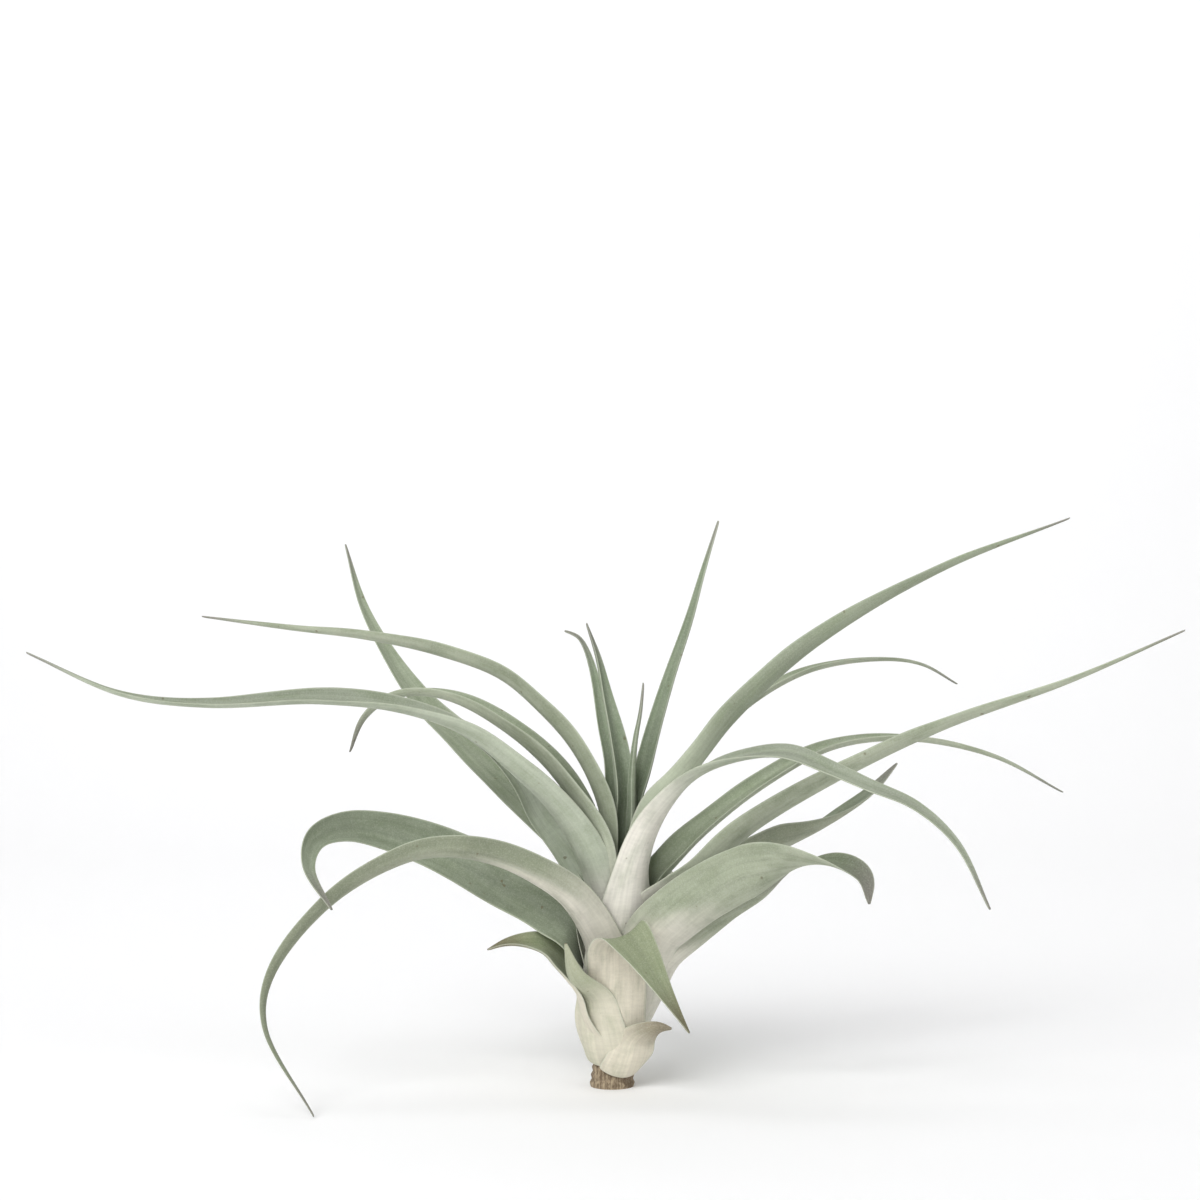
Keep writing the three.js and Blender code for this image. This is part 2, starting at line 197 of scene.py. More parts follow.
def mix_colours(tree, factor, first, second, how="MIX"):
    """The first colour going over to the second one as the factor rises."""
    inputs = {0: factor, 6: first, 7: second}
    return add_node(tree, "ShaderNodeMix", inputs, data_type="RGBA", blend_type=how).outputs[2]


def ramp(tree, value, start, end, low=0.0, high=1.0):
    """low before start, high after end, and smooth between them."""
    ranges = {"Value": value, "From Min": start, "From Max": end, "To Min": low, "To Max": high}
    return add_node(tree, "ShaderNodeMapRange", ranges, interpolation_type="SMOOTHSTEP").outputs[0]


def new_material(name):
    """An empty material with its node tree and its shader."""
    material = bpy.data.materials.new(name)
    material.use_nodes = True
    return material, material.node_tree, material.node_tree.nodes["Principled BSDF"]


WOOD_SHADE, WOOD_LIGHT, WOOD_BLOTCH = paint(116, 100, 80), paint(172, 156, 130), paint(84, 68, 52)

dry_wood, tree, shader = new_material("dry_wood")
place = add_node(tree, "ShaderNodeTexCoord").outputs["Object"]
drawn_out = add_node(tree, "ShaderNodeMapping", {"Vector": place, "Scale": FIBRE_STRETCH}).outputs[0]
fibres = add_node(tree, "ShaderNodeTexNoise", {"Vector": drawn_out, "Scale": 1.0, "Detail": 4.0}).outputs[0]
blotched = {"Vector": place, "Scale": BLOTCHES_PER_METRE, "Detail": 3.0}
blotches = add_node(tree, "ShaderNodeTexNoise", blotched).outputs[0]
bark = mix_colours(tree, ramp(tree, fibres, 0.35, 0.65), WOOD_SHADE, WOOD_LIGHT)
bark = mix_colours(tree, ramp(tree, blotches, 0.45, 0.7, 0, 0.6), bark, WOOD_BLOTCH)
tree.links.new(bark, shader.inputs["Base Color"])
shader.inputs["Roughness"].default_value = 0.9
grain = add_node(tree, "ShaderNodeBump", {"Height": fibres, "Strength": 0.5, "Distance": FIBRE_RELIEF})
tree.links.new(grain.outputs[0], shader.inputs["Normal"])
stem.data.materials.append(dry_wood)
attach(stem, "root")
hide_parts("stem")

# ---------------------------------------------------------------- centre leaves
# The youngest leaves, still upright and close together, each wrapped at its foot round the stem. A
# leaf is a flat grid whose rows are laid along its own line, curved into a channel, thickened at the
# rib by Solidify and smoothed by Subdivision.
RANKS = 27
LOWEST_INSERTION, HIGHEST_INSERTION = 4 * MM, 56 * MM
INNER_BUNCH_RADIUS, OUTER_BUNCH_RADIUS = 2.2 * MM, 17.6 * MM
BUNCH_SPREAD = 0.8
BUNCH_SWELL = 12 * MM
SHEATH_GAP = 0.65 * MM
SHEATH_STEPS = 4
SHEATH_CLOSED_SHARE = 0.5
WIDEST_WRAP_RADIANS = 1.3
NECK_LENGTH = 20 * MM
TIP_WIDTH = 0.8 * MM
RIB_THICKNESS = 1.4 * MM
SHEATH_THINNING, TIP_THINNING, MARGIN_THINNING = 0.35, 0.5, 0.28
ROW_PITCH = 2.6 * MM
BLADE_COLUMNS = 12
TWIST_STAGES = (0, 0.25, 0.6, 1)
RIPPLES_PER_METRE, RIPPLE_RADIANS, RIPPLE_LAYER = 18, 0.09, 0
WAVES_PER_METRE, WAVE_SHARE, WAVE_LAYER = 45, 0.05, 5


def blend(first, second, share):
    """Part of the way from one number to another."""
    return first + (second - first) * share


def ease(value, start, end):
    """0 before start, 1 after end, and smooth between them."""
    share = min(max((value - start) / (end - start), 0), 1)
    return share * share * (3 - 2 * share)


def insertion_height(rank):
    """Where a leaf joins the stem: the outermost ones lowest."""
    return blend(HIGHEST_INSERTION, LOWEST_INSERTION, rank / RANKS)


def bunch_radius(rank, z):
    """How far a sheath stands from the stem's middle at a height."""
    full = blend(INNER_BUNCH_RADIUS, OUTER_BUNCH_RADIUS, (rank / RANKS) ** BUNCH_SPREAD)
    start = stem_radius(insertion_height(rank)) + SHEATH_GAP
    swell = 1 - math.exp(-(z - insertion_height(rank)) / BUNCH_SWELL)
    return max(stem_radius(z) + SHEATH_GAP, blend(start, full, swell))


def smooth_line(points, steps=24):
    """Close points on a smooth line through the given ones, a centripetal Catmull-Rom spline."""
    ends = [2 * points[0] - points[1], *points, 2 * points[-1] - points[-2]]
    line = []
    for before, start, end, after in zip(ends, ends[1:], ends[2:], ends[3:]):
        first, middle, last = (start - before).length, (end - start).length, (after - end).length
        first, middle, last = math.sqrt(first), math.sqrt(middle), math.sqrt(last)
        away = (start - before) / first - (end - before) / (first + middle) + (end - start) / middle
        into = (end - start) / middle - (after - start) / (middle + last) + (after - end) / last
        for step in range(steps):
            s = step / steps
            line.append(
                start * (2 * s**3 - 3 * s**2 + 1) + end * (3 * s**2 - 2 * s**3)
                + middle * (away * (s**3 - 2 * s**2 + s) + into * (s**3 - s**2))
            )
    return [*line, points[-1]]


def spread_evenly(line, count):
    """count + 1 points at equal distances along a line, and its length."""
    reached = [0.0]
    for a, b in zip(line, line[1:]):
        reached.append(reached[-1] + (b - a).length)
    points, at = [], 0
    for i in range(count + 1):
        wanted = reached[-1] * i / count
        while at < len(line) - 2 and reached[at + 1] < wanted:
            at += 1
        points.append(line[at].lerp(line[at + 1], (wanted - reached[at]) / (reached[at + 1] - reached[at])))
    return points, reached[-1]


def leaf_line(rank, heading, leave, route):
    """The line along a leaf's middle: up the bunch, then along its own route to the tip."""
    direction, bottom = math.radians(heading), insertion_height(rank)
    points = []
    for step in range(SHEATH_STEPS + 1):
        z = blend(bottom, leave * MM, step / SHEATH_STEPS)
        r = bunch_radius(rank, z)
        points.append(Vector((STEM_LEAN * z + r * math.cos(direction), r * math.sin(direction), z)))
    return smooth_line(points + [Vector(point) * MM for point in route])


def twist_at(twist, share):
    """A leaf's twist in radians at a share of its length, from its degrees at the neck, middle and tip."""
    values = (0, *twist)
    stage = next(i for i in (1, 2, 3) if share <= TWIST_STAGES[i])
    along = (share - TWIST_STAGES[stage - 1]) / (TWIST_STAGES[stage] - TWIST_STAGES[stage - 1])
    return math.radians(blend(values[stage - 1], values[stage], along))


def leaf_sections(rank, heading, leave, route, sheath, blade, channel, taper, twist, phase):
    """A leaf's cross-sections at even distances from its foot to its tip, and its length. A section is
    its middle, the directions across it and into its channel, half the angle it is curved through, its
    width, and how far the leaf has opened there, from 0 to 1.
    """
    line = leaf_line(rank, heading, leave, route)
    rows = math.ceil(sum((b - a).length for a, b in zip(line, line[1:])) / ROW_PITCH)
    centres, length = spread_evenly(line, rows)
    direction = math.radians(heading)
    across = Vector((-math.sin(direction), math.cos(direction), 0))
    sheath_length = leave * MM - insertion_height(rank)
    sections = []
    for i, centre in enumerate(centres):
        share = i / rows
        along = (centres[min(i + 1, rows)] - centres[max(i - 1, 0)]).normalized()
        across = (across - along * across.dot(along)).normalized()
        opened = ease(share * length, SHEATH_CLOSED_SHARE * sheath_length, sheath_length + NECK_LENGTH)
        width = blend(sheath, blade, opened) * MM * (1 - share**taper) + TIP_WIDTH
        wrap = min(WIDEST_WRAP_RADIANS, width / 2 / bunch_radius(rank, centre.z))
        half_angle = blend(wrap, channel, opened)
        depth = (width / 2 / half_angle) * (1 - math.cos(half_angle))
        ripple = opened * noise.noise(Vector((share * length * RIPPLES_PER_METRE, phase, RIPPLE_LAYER)))
        turn = Matrix.Rotation(twist_at(twist, share) + RIPPLE_RADIANS * ripple, 3, along)
        inward = turn @ along.cross(across)
        middle = centre - inward * (0.5 * opened * depth)
        sections.append((middle, turn @ across, inward, half_angle, width, opened))
    return sections, length


def shape_blade(leaf, sections, length, pale, phase):
    """Lays the rows of a leaf's grid on its cross-sections, and marks each point for the thickness and
    for the skins.
    """
    mesh = leaf.data
    rib = leaf.vertex_groups.new(name="rib")
    marks = {"along_foot": [], "from_tip": [], "edge": [], "skyward": []}
    for vertex in mesh.vertices:
        share, side = vertex.co.x + 0.5, 2 * vertex.co.y
        middle, across, inward, half_angle, width, opened = sections[round(share * (len(sections) - 1))]
        radius, angle = width / 2 / half_angle, half_angle * side
        spot = Vector((share * length * WAVES_PER_METRE, phase + side, WAVE_LAYER))
        wave = opened * width * WAVE_SHARE * side**2 * noise.noise(spot)
        vertex.co = middle + across * radius * math.sin(angle)
        vertex.co += inward * (radius * (1 - math.cos(angle)) + wave)
        marks["along_foot"].append(share * length / (pale * MM))
        marks["from_tip"].append((1 - share) * length)
        marks["edge"].append(abs(side))
        marks["skyward"].append((across * math.sin(angle) - inward * math.cos(angle)).z)
        at_rib = blend(SHEATH_THINNING, 1, opened) * blend(1, TIP_THINNING, share)
        rib.add([vertex.index], blend(at_rib, MARGIN_THINNING, side**2), "REPLACE")
    for name, values in marks.items():
        mesh.attributes.new(name, "FLOAT", "POINT").data.foreach_set("value", values)


def thicken_blade(leaf):
    """Gives a leaf its thickness, with a skin for each face and one for the rim, and smooths it."""
    solidify = leaf.modifiers.new("thickness", "SOLIDIFY")
    solidify.thickness = RIB_THICKNESS
    solidify.offset = 0
    solidify.vertex_group = "rib"
    solidify.material_offset = 1
    solidify.material_offset_rim = 2
    bpy.ops.object.modifier_apply(modifier=solidify.name)
    subdivision = leaf.modifiers.new("smooth", "SUBSURF")
    subdivision.levels = subdivision.render_levels = 1
    bpy.ops.object.modifier_apply(modifier=subdivision.name)
    bpy.ops.object.shade_smooth()


def grow_leaf(
    node, rank, heading, leave, route, sheath, blade, channel, taper, pale, skins,
    twist=(0, 0, 0),
):
    """One leaf. Its rank counts outwards from the youngest, and its heading is in degrees, from the right
    round by the back. In millimetres are the height where it leaves the bunch, its route from there, the
    widths of its sheath and blade, and the length of its pale foot. The channel is half the angle that
    the blade is curved through, in radians, a higher taper keeps the blade broad for longer, and the
    twist is in degrees.
    """
    phase = random.Random(rank).uniform(0, 10)
    sections, length = leaf_sections(
        rank, heading, leave, route, sheath, blade, channel, taper, twist, phase
    )
    bpy.ops.object.select_all(action="DESELECT")
    bpy.ops.mesh.primitive_grid_add(x_subdivisions=len(sections) - 1, y_subdivisions=BLADE_COLUMNS, size=1)
    leaf = bpy.context.object
    leaf.name = node.replace("leaf_", "blade_")
    shape_blade(leaf, sections, length, pale, phase)
    for corner in leaf.data.uv_layers.active.data:
        corner.uv = (corner.uv.x * length, (corner.uv.y - 0.5) * blade * MM)
    for skin in skins:
        leaf.data.materials.append(skin)
    thicken_blade(leaf)
    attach(leaf, "root")
    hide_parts(node)


SILVER = paint(222, 226, 216)
PALE_RIM = paint(186, 192, 172)
GREY_TIP = paint(126, 121, 116)
DRY_BROWN = paint(104, 92, 66)
TOP_SHADE_LEAD = 0.35
FOOT_FADE = (0.75, 1.25)
TIP_FADE = (22 * MM, 2 * MM)
MARGIN_FADE = (0.9, 1.0)
GROOVE_SHADE_FADE = (0.0, 0.5)
NOISE_RANGE = (0.3, 0.7)
NO_TOP_SHADE = (1, 2)
VEIN_RELIEF, WRINKLE_RELIEF, SCALE_RELIEF = 0.3 * MM, 0.2 * MM, 0.15 * MM


def leaf_skin(name, foot, blade, patch, groove_shade=1.0, top_shade=0.0, top_span=NO_TOP_SHADE, tip=GREY_TIP):
    """The skin of one face of a leaf, from its foot to its tip, under a mealy coat of silver scales. The
    middle of the face is darkened to the given share of its brightness, as painted shade in the channel,
    and a dark foot given to an inner face is painted shade deep in the bunch. Where an outer face looks
    up, between the two given values of how far it looks up, painted shade turns it green closer to the
    foot and gives it the patch colour by the given share.
    """
    material, tree, shader = new_material(name)
    along_foot = add_node(tree, "ShaderNodeAttribute", attribute_name="along_foot").outputs["Fac"]
    from_tip = add_node(tree, "ShaderNodeAttribute", attribute_name="from_tip").outputs["Fac"]
    edge = add_node(tree, "ShaderNodeAttribute", attribute_name="edge").outputs["Fac"]
    skyward = add_node(tree, "ShaderNodeAttribute", attribute_name="skyward").outputs["Fac"]
    surface = add_node(tree, "ShaderNodeUVMap", uv_map="UVMap").outputs[0]
    place = add_node(tree, "ShaderNodeTexCoord").outputs["Object"]

    def pattern(stretch, detail, source=surface):
        scaled = add_node(tree, "ShaderNodeMapping", {"Vector": source, "Scale": stretch}).outputs[0]
        grain = {"Vector": scaled, "Scale": 1.0, "Detail": detail, "Roughness": 0.6}
        return add_node(tree, "ShaderNodeTexNoise", grain).outputs[0]

    # About how many of each pattern fit in a metre, along and across the leaf or in every direction.
    veins = pattern((14, 950, 1), 2.0)
    bands = pattern((9, 240, 1), 2.0)
    patches = pattern((60, 130, 1), 4.0)
    wrinkles = pattern((850, 170, 1), 2.0)
    scales = pattern((2200, 2200, 2200), 2.0, place)
    clouds = pattern((26, 26, 26), 3.0, place)
    spots = pattern((330, 330, 330), 1.0, place)

    # Painted shade: where an outer face looks up, its foot gives way to green sooner.
    top_facing = {0: ramp(tree, skyward, *top_span), 1: TOP_SHADE_LEAD, 2: along_foot}
    reach = add_node(tree, "ShaderNodeMath", top_facing, operation="MULTIPLY_ADD").outputs[0]
    green = ramp(tree, reach, *FOOT_FADE)

    # The blade takes on the patch colour where it looks up, as painted shade, and is patched. It fades
    # into the foot, and fainter patches lie over both. Then come the dying tip and the pale margin.
    colour = mix_colours(tree, ramp(tree, skyward, *top_span, 0, top_shade), blade, patch)
    colour = mix_colours(tree, ramp(tree, patches, 0.42, 0.7, 0, 0.6), colour, patch)
    colour = mix_colours(tree, green, foot, colour)
    colour = mix_colours(tree, ramp(tree, patches, 0.42, 0.75, 0, 0.42), colour, patch)
    colour = mix_colours(tree, ramp(tree, from_tip, *TIP_FADE, 0, 0.8), colour, tip)
    colour = mix_colours(tree, ramp(tree, edge, *MARGIN_FADE, 0, 0.45), colour, PALE_RIM)

    # These only make it lighter or darker. Scales and a few dry spots lie on top.
    for shade in (
        ramp(tree, veins, *NOISE_RANGE, 0.95, 1.04),
        ramp(tree, bands, *NOISE_RANGE, 0.94, 1.05),
        ramp(tree, wrinkles, *NOISE_RANGE, 0.96, 1.03),
        ramp(tree, clouds, *NOISE_RANGE, 0.92, 1.06),
        # Painted shade: the middle of the face, down in the channel, is darker.
        ramp(tree, edge, *GROOVE_SHADE_FADE, groove_shade, 1.0),
    ):
        colour = mix_colours(tree, 1.0, colour, shade, "MULTIPLY")
    colour = mix_colours(tree, ramp(tree, scales, 0.4, 0.75, 0, 0.14), colour, SILVER)
    colour = mix_colours(tree, ramp(tree, spots, 0.74, 0.8, 0, 0.6), colour, DRY_BROWN)
    tree.links.new(colour, shader.inputs["Base Color"])
    tree.links.new(ramp(tree, scales, *NOISE_RANGE, 0.65, 0.85), shader.inputs["Roughness"])
    shader.inputs["Specular IOR Level"].default_value = 0.2
    shader.inputs["Sheen Weight"].default_value = 0.18
    shader.inputs["Sheen Roughness"].default_value = 0.5
    shader.inputs["Sheen Tint"].default_value = SILVER

    ridges = add_node(tree, "ShaderNodeBump", {"Height": veins, "Strength": 0.3, "Distance": VEIN_RELIEF})
    folds = {"Height": wrinkles, "Normal": ridges.outputs[0], "Strength": 0.25, "Distance": WRINKLE_RELIEF}
    folded = add_node(tree, "ShaderNodeBump", folds).outputs[0]
    meal = {"Height": scales, "Normal": folded, "Strength": 0.4, "Distance": SCALE_RELIEF}
    tree.links.new(add_node(tree, "ShaderNodeBump", meal).outputs[0], shader.inputs["Normal"])
    return material


# The inner face's dark foot is painted shade deep in the bunch.
young_upper = leaf_skin(
    "young_upper", foot=paint(96, 106, 84), blade=paint(138, 149, 126), patch=paint(122, 136, 108),
    groove_shade=0.84,
)
young_under = leaf_skin(
    "young_under", foot=paint(130, 140, 118), blade=paint(158, 167, 145), patch=paint(142, 154, 128),
)
young_rim = leaf_skin(
    "young_rim", foot=paint(126, 136, 114), blade=paint(146, 155, 134), patch=paint(134, 146, 122),
)
young_skins = (young_upper, young_under, young_rim)

grow_leaf(
    "leaf_centre_bud", rank=0, heading=20, leave=84,
    route=[(7, 2, 96), (7, 3, 107), (8, 3, 120), (10, 5, 131), (11, 6, 141)],
    sheath=9, blade=9, channel=1.5, taper=1.4, pale=25, skins=young_skins,
)
grow_leaf(
    "leaf_centre_broad", rank=1, heading=170, leave=84,
    route=[(4, 2, 98), (3, 4, 112), (1, 6, 124), (-2, 8, 137), (-5, 10, 150), (-9, 12, 162)],
    sheath=11, blade=18, channel=1.2, taper=1.4, twist=(-30, -35, -20), pale=25, skins=young_skins,
)
grow_leaf(
    "leaf_centre_bent_tip", rank=2, heading=110, leave=82,
    route=[
        (1, 8, 98), (0, 12, 112), (-3, 15, 126), (-6, 18, 142), (-9, 20, 152), (-12, 20, 157),
        (-17, 20, 159),
    ],
    sheath=11, blade=12, channel=1.2, taper=1.4, pale=25, skins=young_skins,
)
grow_leaf(
    "leaf_centre_tall", rank=3, heading=60, leave=80,
    route=[
        (7, 7, 96), (11, 10, 109), (15, 14, 124), (21, 20, 143), (28, 26, 163), (33, 31, 180),
        (39, 37, 199),
    ],
    sheath=12, blade=12, channel=1.4, taper=1.3, pale=25, skins=young_skins,
)

# ---------------------------------------------------------------- upper leaves
# Full-grown leaves that rise out of the bunch and spread, green above and silvery below, with a
# creamy foot. Each hugs the bunch up to its neck, then follows its own curve. The one that rises to the
# right is pale farther up its outer face.
# The inner face's dark foot is painted shade deep in the bunch.
mature_upper = leaf_skin(
    "mature_upper", foot=paint(92, 100, 82), blade=paint(148, 157, 134), patch=paint(128, 140, 112),
    groove_shade=0.86,
)
# Painted shade: the sides of its blade that look up turn green sooner and darker.
mature_under = leaf_skin(
    "mature_under", foot=paint(214, 211, 198), blade=paint(168, 174, 153), patch=paint(138, 147, 122),
    top_shade=0.5, top_span=(-0.5, 0.1),
)
mature_rim = leaf_skin(
    "mature_rim", foot=paint(190, 190, 174), blade=paint(156, 163, 142), patch=paint(148, 156, 133),
)
mature_skins = (mature_upper, mature_under, mature_rim)
rising_under = leaf_skin(
    "rising_under", foot=paint(198, 206, 182), blade=paint(150, 158, 136), patch=paint(142, 153, 126),
)
rising_skins = (mature_upper, rising_under, mature_rim)

grow_leaf(
    "leaf_right_rising", rank=4, heading=0, leave=76,
    route=[
        (10, 1, 88), (14, 3, 97), (22, 5, 105), (31, 8, 116), (42, 12, 129), (72, 20, 155),
        (118, 29, 181), (167, 36, 200),
    ],
    sheath=16, blade=23, channel=1.0, taper=1.3, twist=(-20, -20, 0), pale=78, skins=rising_skins,
)
grow_leaf(
    "leaf_left_rising", rank=5, heading=180, leave=74,
    route=[
        (-1, -1, 92), (-5, 0, 106), (-13, 3, 120), (-24, 7, 132), (-39, 12, 144), (-62, 20, 152),
        (-88, 30, 157), (-118, 41, 160), (-152, 54, 164),
    ],
    sheath=16, blade=19, channel=1.2, taper=1.3, twist=(10, 10, 0), pale=40, skins=mature_skins,
)
grow_leaf(
    "leaf_back_upper", rank=6, heading=95, leave=70,
    route=[(4, 12, 84), (5, 28, 90), (4, 55, 91), (3, 85, 85), (2, 115, 73), (0, 140, 57)],
    sheath=17, blade=16, channel=1.1, taper=1.4, pale=60, skins=mature_skins,
)
grow_leaf(
    "leaf_back_right_upper", rank=7, heading=35, leave=68,
    route=[
        (12, 9, 86), (20, 16, 100), (33, 26, 116), (46, 36, 130), (72, 52, 144), (98, 63, 148),
        (117, 72, 146), (132, 79, 138),
    ],
    sheath=17, blade=16, channel=1.2, taper=1.4, pale=50, skins=mature_skins,
)
grow_leaf(
    "leaf_back_left_upturned", rank=8, heading=140, leave=64,
    route=[
        (-7, 10, 78), (-19, 20, 88), (-38, 38, 103), (-57, 56, 119), (-75, 72, 136), (-95, 94, 166),
        (-104, 108, 192),
    ],
    sheath=19, blade=25, channel=0.9, taper=1.2, twist=(-35, -30, 0), pale=50, skins=mature_skins,
)
grow_leaf(
    "leaf_left_hooked", rank=9, heading=-170, leave=66,
    route=[
        (-5, -4, 84), (-9, -5, 97), (-18, -4, 110.5), (-32, -3, 123.5), (-52, 0, 135), (-66, 3, 138),
        (-78, 6, 136), (-88, 10, 128), (-93, 12, 116),
    ],
    sheath=20, blade=35, channel=1.1, taper=1.3, twist=(0, -18, 0), pale=50, skins=mature_skins,
)

# ---------------------------------------------------------------- middle leaves
# The longest leaves, out to both sides, one that arches over in front, and two at the back that arch
# down to the surface and help to hold the plant up. Scales make three of them silver outside. The
# inside of one of these is painted light, near-white, to lift the shade it lies in. A low one in the
# shade has darker olive skins, partly its own colour and partly painted shade.
# Painted shade: the sides of its blade that look up turn green sooner and darker.
silver_under = leaf_skin(
    "silver_under", foot=paint(230, 226, 215), blade=paint(174, 181, 162), patch=paint(152, 161, 138),
    top_shade=0.6, top_span=(0.0, 0.4),
)
# The inner face's dark foot is painted shade deep in the bunch.
silver_upper = leaf_skin(
    "silver_upper", foot=paint(112, 118, 100), blade=paint(150, 157, 139), patch=paint(136, 146, 122),
    groove_shade=0.84,
)
silver_skins = (silver_upper, silver_under, mature_rim)
# Painted light: this inner face is near-white, to lift the shade it lies in under the leaf above.
painted_light_upper = leaf_skin(
    "painted_light_upper", foot=paint(206, 208, 194), blade=paint(190, 198, 180), patch=paint(164, 174, 150),
    groove_shade=0.98,
)
inner_skins = (painted_light_upper, silver_under, mature_rim)
# Darker olive skins, partly the leaf's own colour and partly painted shade. The inner face's dark foot is
# painted shade deep in the bunch.
olive_upper = leaf_skin(
    "olive_upper", foot=paint(96, 104, 86), blade=paint(136, 145, 124), patch=paint(116, 126, 102),
    groove_shade=0.88,
)
# Painted shade: the sides of its blade that look up turn green sooner and darker.
olive_under = leaf_skin(
    "olive_under", foot=paint(222, 217, 204), blade=paint(158, 162, 142), patch=paint(124, 131, 108),
    top_shade=0.8, top_span=(-0.85, -0.2),
)
olive_skins = (olive_upper, olive_under, mature_rim)

grow_leaf(
    "leaf_right_long", rank=10, heading=-15, leave=56,
    route=[
        (13.5, -4, 65.5), (20, -6, 70.5), (31.5, -8, 77.5), (46, -10, 91), (75, -15, 109),
        (112, -21, 127), (155, -29, 143), (193, -34, 160),
    ],
    sheath=19, blade=22, channel=1.1, taper=1.4, twist=(-20, -20, 0), pale=40, skins=mature_skins,
)
grow_leaf(
    "leaf_right_slender", rank=11, heading=20, leave=56,
    route=[
        (13, 5, 70), (20, 8, 78), (30, 11, 88), (55, 19, 106), (80, 26, 118), (108, 34, 120),
        (140, 42, 113), (167, 50, 99),
    ],
    sheath=19, blade=16, channel=1.2, taper=1.4, twist=(25, 10, 0), pale=35, skins=mature_skins,
)
grow_leaf(
    "leaf_left_long", rank=12, heading=-145, leave=66,
    route=[
        (-9, -10, 83), (-18, -13, 98), (-32, -16, 112), (-50, -19, 126), (-72, -25, 134),
        (-99, -32, 137), (-135, -42, 135.5), (-162, -51, 139), (-192, -59, 153),
    ],
    sheath=22, blade=23, channel=1.3, taper=1.2, twist=(5, -44, -28), pale=40, skins=silver_skins,
)
grow_leaf(
    "leaf_back_left_prop", rank=13, heading=110, leave=54,
    route=[
        (-1, 17, 67), (-3, 34, 76), (-7, 60, 77), (-11, 88, 67), (-13, 115, 46), (-11, 133, 20),
        (-9, 140, 0.4),
    ],
    sheath=20, blade=17, channel=1.1, taper=1.6, pale=70, skins=mature_skins,
)
grow_leaf(
    "leaf_front_right_arching", rank=14, heading=-75, leave=62,
    route=[
        (7, -13, 76), (11, -17, 89), (18, -22, 101), (28, -27, 111), (42, -32, 117), (58, -39, 119),
        (72, -44, 114), (85, -48, 108.4), (100, -53, 102), (113, -57, 90), (123, -62, 69),
    ],
    sheath=34, blade=18, channel=0.9, taper=1.1, twist=(8, 81, 92), pale=84, skins=silver_skins,
)
grow_leaf(
    "leaf_left_inner", rank=15, heading=165, leave=56,
    route=[
        (-9, 1, 70), (-17, 1, 83), (-26, 0, 95), (-31, -3, 105), (-39, -5, 115), (-53, -7, 125),
        (-76, -9, 133),
    ],
    sheath=20, blade=17, channel=1.0, taper=1.3, twist=(-45, -45, 0), pale=30, skins=inner_skins,
)
grow_leaf(
    "leaf_back_right_lower", rank=16, heading=40, leave=48,
    route=[
        (15, 11, 61), (22, 16, 66), (35, 26, 72), (56, 42, 79), (78, 60, 86), (97, 71, 97),
        (109, 79, 108),
    ],
    sheath=20, blade=29, channel=0.8, taper=2.2, twist=(-35, -45, 20), pale=30, skins=olive_skins,
)
grow_leaf(
    "leaf_back_right_prop", rank=17, heading=75, leave=46,
    route=[
        (9, 20, 59), (13, 38, 67), (18, 62, 67), (22, 88, 55), (22, 108, 36), (18, 121, 16),
        (15, 127, 0.4),
    ],
    sheath=20, blade=16, channel=1.1, taper=1.6, pale=70, skins=mature_skins,
)

# ---------------------------------------------------------------- lower leaves
# Older and broader leaves that arch out low down, olive above and pale below. On the two broad ones
# on the right the upper face is painted darker as painted shade. Some have curled over at the end, and
# one on the left touches the surface with its tip.
# Painted shade: this upper face is darker all along, for the shade on the two broad leaves on the right,
# and its dark foot is painted shade deep in the bunch.
painted_shade_upper = leaf_skin(
    "painted_shade_upper", foot=paint(80, 88, 68), blade=paint(112, 121, 98), patch=paint(94, 106, 80),
    groove_shade=0.9,
)
broad_skins = (painted_shade_upper, mature_under, mature_rim)

grow_leaf(
    "leaf_left_curled_over", rank=18, heading=-175, leave=46,
    route=[
        (-13, -4, 56), (-24, -2, 64), (-38, 0, 71), (-53, 2, 79), (-67, 3, 85), (-80, 1, 89),
        (-93, -6, 91), (-102, -17, 88), (-103, -29, 79), (-94, -38, 66),
    ],
    sheath=22, blade=24, channel=0.7, taper=1.9, twist=(-60, -75, -30), pale=30, skins=olive_skins,
)
grow_leaf(
    "leaf_left_drooping", rank=19, heading=-114, leave=48,
    route=[
        (-8, -14, 60), (-15, -17, 69), (-25, -19, 76), (-38, -20, 82), (-54, -21, 85), (-70, -22, 83),
        (-96, -25, 68), (-115, -35, 44), (-116, -44, 28), (-98, -57, 0.4),
    ],
    sheath=18, blade=18, channel=1.1, taper=1.5, twist=(0, -20, -20), pale=80, skins=olive_skins,
)
grow_leaf(
    "leaf_right_broad", rank=20, heading=-50, leave=44,
    route=[
        (14, -15, 54), (21, -19, 61.5), (32, -24, 70.3), (45, -29, 77.8), (60, -33, 82.2),
        (76, -37, 82), (84.5, -39, 77.5), (86, -39, 68),
    ],
    sheath=20, blade=22, channel=0.8, taper=4.5, twist=(-42, -70, 105), pale=60, skins=broad_skins,
)
grow_leaf(
    "leaf_back_left_low", rank=21, heading=120, leave=36,
    route=[(-7, 20, 49), (-9, 33, 54), (-12, 52, 53), (-12, 70, 44), (-10, 84, 28), (-8, 92, 13)],
    sheath=22, blade=17, channel=1.1, taper=1.5, pale=70, skins=olive_skins,
)
grow_leaf(
    "leaf_right_under", rank=22, heading=-10, leave=35,
    route=[(20, -5, 44), (29, -8, 52), (41, -10, 61), (52, -12, 68), (59, -13, 75), (65, -14, 80)],
    sheath=22, blade=20, channel=0.9, taper=1.6, twist=(-35, -35, 0), pale=45, skins=broad_skins,
)

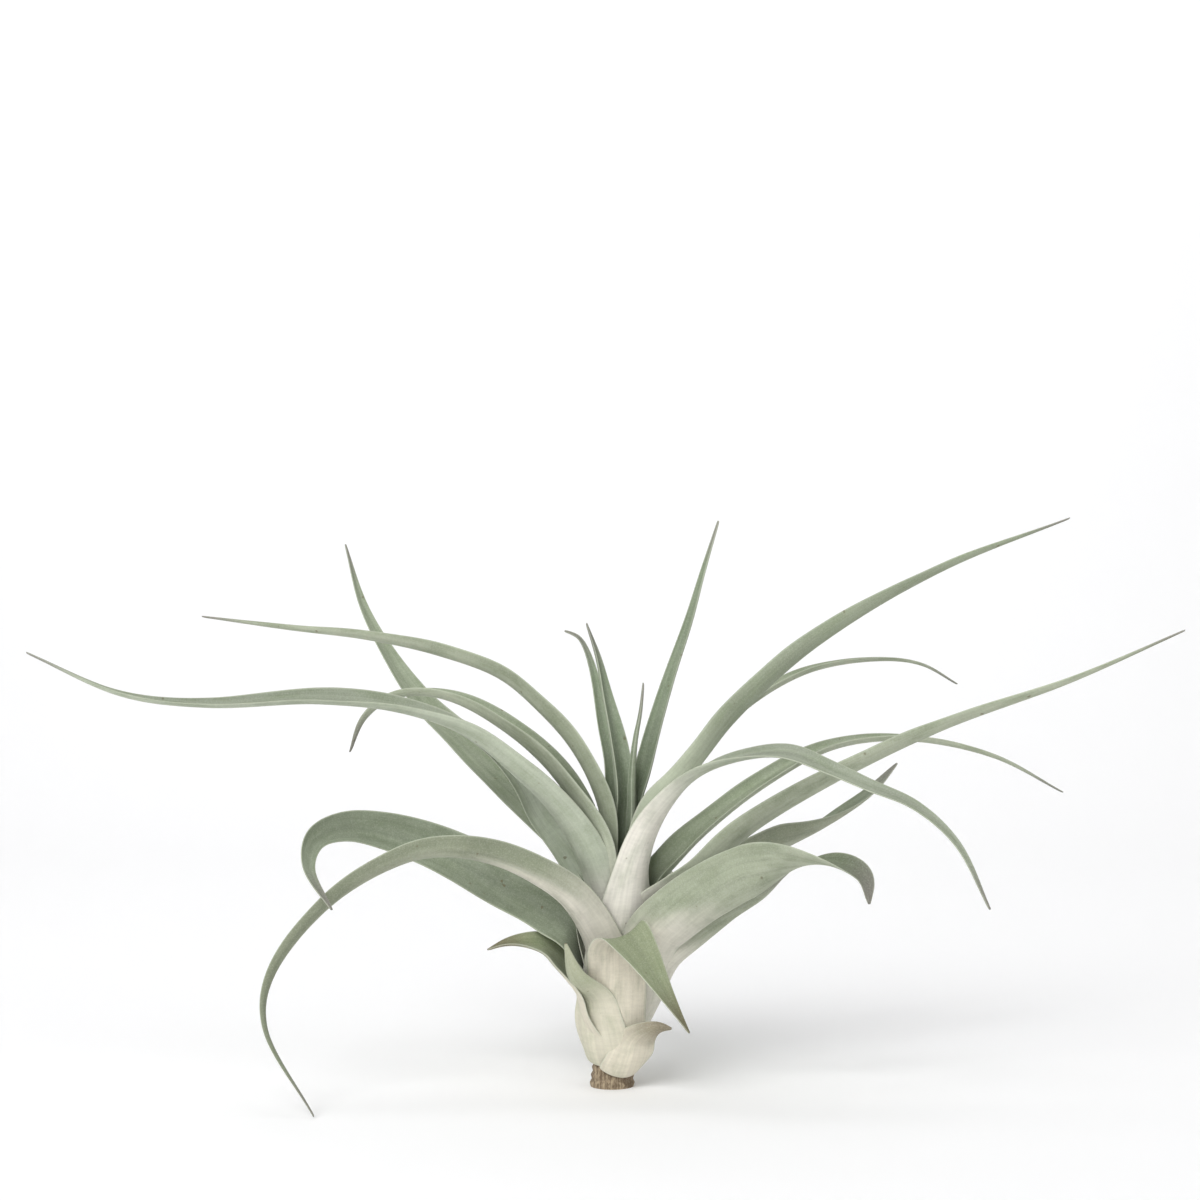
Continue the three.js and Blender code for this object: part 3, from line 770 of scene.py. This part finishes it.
# ---------------------------------------------------------------- foot leaves
# The oldest and shortest leaves, low on the stem. Their broad pale sheaths make the bulb, and what is
# left of their blades is folded down, short or dried up.
old_upper = leaf_skin(
    "old_upper", foot=paint(144, 152, 122), blade=paint(146, 154, 122), patch=paint(124, 136, 100),
    groove_shade=0.9, tip=DRY_BROWN,
)
old_under = leaf_skin(
    "old_under", foot=paint(220, 213, 195), blade=paint(172, 174, 153), patch=paint(140, 146, 120),
    tip=DRY_BROWN,
)
old_rim = leaf_skin(
    "old_rim", foot=paint(206, 202, 186), blade=paint(178, 182, 160), patch=paint(170, 174, 150),
    tip=DRY_BROWN,
)
old_skins = (old_upper, old_under, old_rim)
scale_under = leaf_skin(
    "scale_under", foot=paint(214, 209, 190), blade=paint(170, 175, 148), patch=paint(146, 156, 124),
    tip=paint(178, 180, 154),
)
scale_skins = (old_upper, scale_under, old_rim)

grow_leaf(
    "leaf_left_short", rank=23, heading=-155, leave=34,
    route=[(-18, -8, 45), (-23, -10, 50), (-30, -13, 52), (-37, -16, 52), (-43, -18, 50)],
    sheath=20, blade=26, channel=0.8, taper=2, twist=(-30, -45, 0), pale=40, skins=old_skins,
)
grow_leaf(
    "leaf_front_folded", rank=24, heading=-90, leave=42,
    route=[(1.5, -20, 53), (4, -26, 57), (9.5, -30, 50.5), (17, -33, 38.5), (26, -34, 24)],
    sheath=27, blade=38, channel=0.6, taper=1.1, twist=(0, 34, 0), pale=70, skins=old_skins,
)
grow_leaf(
    "leaf_front_left_scale", rank=25, heading=-122, leave=32,
    route=[(-13, -19, 42), (-16, -22, 53)],
    sheath=26, blade=20, channel=1.0, taper=1.8, pale=30, skins=scale_skins,
)
grow_leaf(
    "leaf_back_short", rank=26, heading=80, leave=24,
    route=[(6, 24, 35), (8, 36, 38), (10, 50, 32), (11, 60, 22)],
    sheath=22, blade=16, channel=1.0, taper=1.4, pale=50, skins=old_skins,
)
grow_leaf(
    "leaf_foot_stub", rank=27, heading=-60, leave=17,
    route=[(12, -17, 21.5), (16, -18, 23.5), (20.5, -18.5, 23)],
    sheath=20, blade=18, channel=0.8, taper=1.6, twist=(-10, -40, -40), pale=50, skins=old_skins,
)
